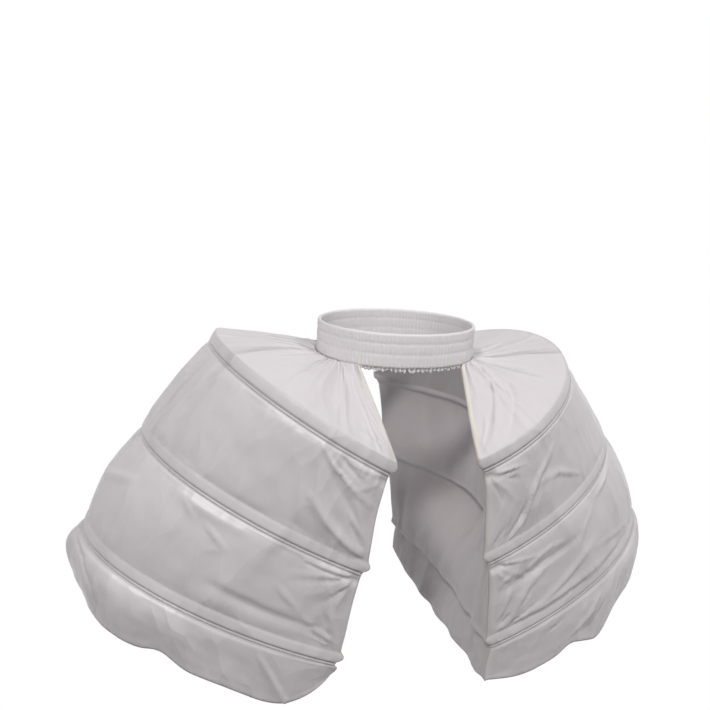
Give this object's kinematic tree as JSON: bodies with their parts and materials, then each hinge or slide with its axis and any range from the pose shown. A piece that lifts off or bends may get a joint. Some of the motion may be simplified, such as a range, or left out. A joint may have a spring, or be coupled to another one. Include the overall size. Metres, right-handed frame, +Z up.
{
  "type": "pannier cage",
  "caption": "Pair of cloth side panniers with boned hoops on an elastic waistband, worn under a historic skirt to widen the hips.",
  "frame": {"origin": "middle of the waistband, halfway up its height", "axes": "+Z up, the wearer faces -Y, +X to the wearer's left"},
  "size_m": [0.9094, 0.46, 0.4868],
  "materials": {
    "taffeta": "white polyester taffeta with a soft sheen",
    "taffeta_lining": "the same taffeta, seen in the shade of the panniers",
    "spring_steel": "flat spring steel",
    "tip_plastic": "moulded white cap",
    "tape": "woven polyester tape",
    "waistband_cloth": "white cloth shirred over elastic",
    "elastic": "woven elastic",
    "edge_thread": "overlock thread over a gathered edge"
  },
  "bodies": {
    "root": {"left_outer_panel": "taffeta", "left_inner_panel": "taffeta_lining", "left_top_bone": "spring_steel", "left_top_bone_tips": "tip_plastic", "left_top_casing": "tape", "left_middle_bone": "spring_steel", "left_middle_bone_tips": "tip_plastic", "left_middle_casing": "tape", "left_bottom_bone": "spring_steel", "left_bottom_bone_tips": "tip_plastic", "left_bottom_casing": "tape", "right_outer_panel": "taffeta", "right_inner_panel": "taffeta_lining", "right_top_bone": "spring_steel", "right_top_bone_tips": "tip_plastic", "right_top_casing": "tape", "right_middle_bone": "spring_steel", "right_middle_bone_tips": "tip_plastic", "right_middle_casing": "tape", "right_bottom_bone": "spring_steel", "right_bottom_bone_tips": "tip_plastic", "right_bottom_casing": "tape", "waistband_casing": "waistband_cloth", "waist_elastic": "elastic", "waistband_gathered_edge": "edge_thread"}
  },
  "joints": []
}
